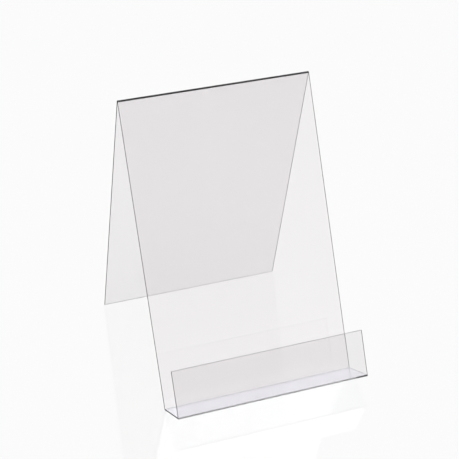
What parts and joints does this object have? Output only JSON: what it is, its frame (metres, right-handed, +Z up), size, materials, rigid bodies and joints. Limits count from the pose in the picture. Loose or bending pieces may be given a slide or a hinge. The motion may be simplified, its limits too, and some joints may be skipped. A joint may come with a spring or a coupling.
{
  "type": "display easel",
  "caption": "Clear acrylic A-frame display easel with a leaning front panel, a rear prop panel, and a ledge with an upstanding lip.",
  "frame": {"origin": "on the table, under the middle of the stand's bounding box", "axes": "+X along the panels' width to the viewer's right, +Y from the lip towards the rear foot, +Z up"},
  "size_m": [0.22, 0.2751, 0.3094],
  "materials": {
    "clear_acrylic": "cast clear sheet, glossy faces, polished cut edges",
    "clear_cement": "clear cured acrylic cement"
  },
  "bodies": {
    "root": {"front_panel": "clear_acrylic", "rear_support_panel": "clear_acrylic", "shelf_panel": "clear_acrylic", "front_lip_panel": "clear_acrylic", "apex_cement_seam": "clear_cement", "shelf_cement_seam": "clear_cement", "lip_cement_seam": "clear_cement"}
  },
  "joints": []
}
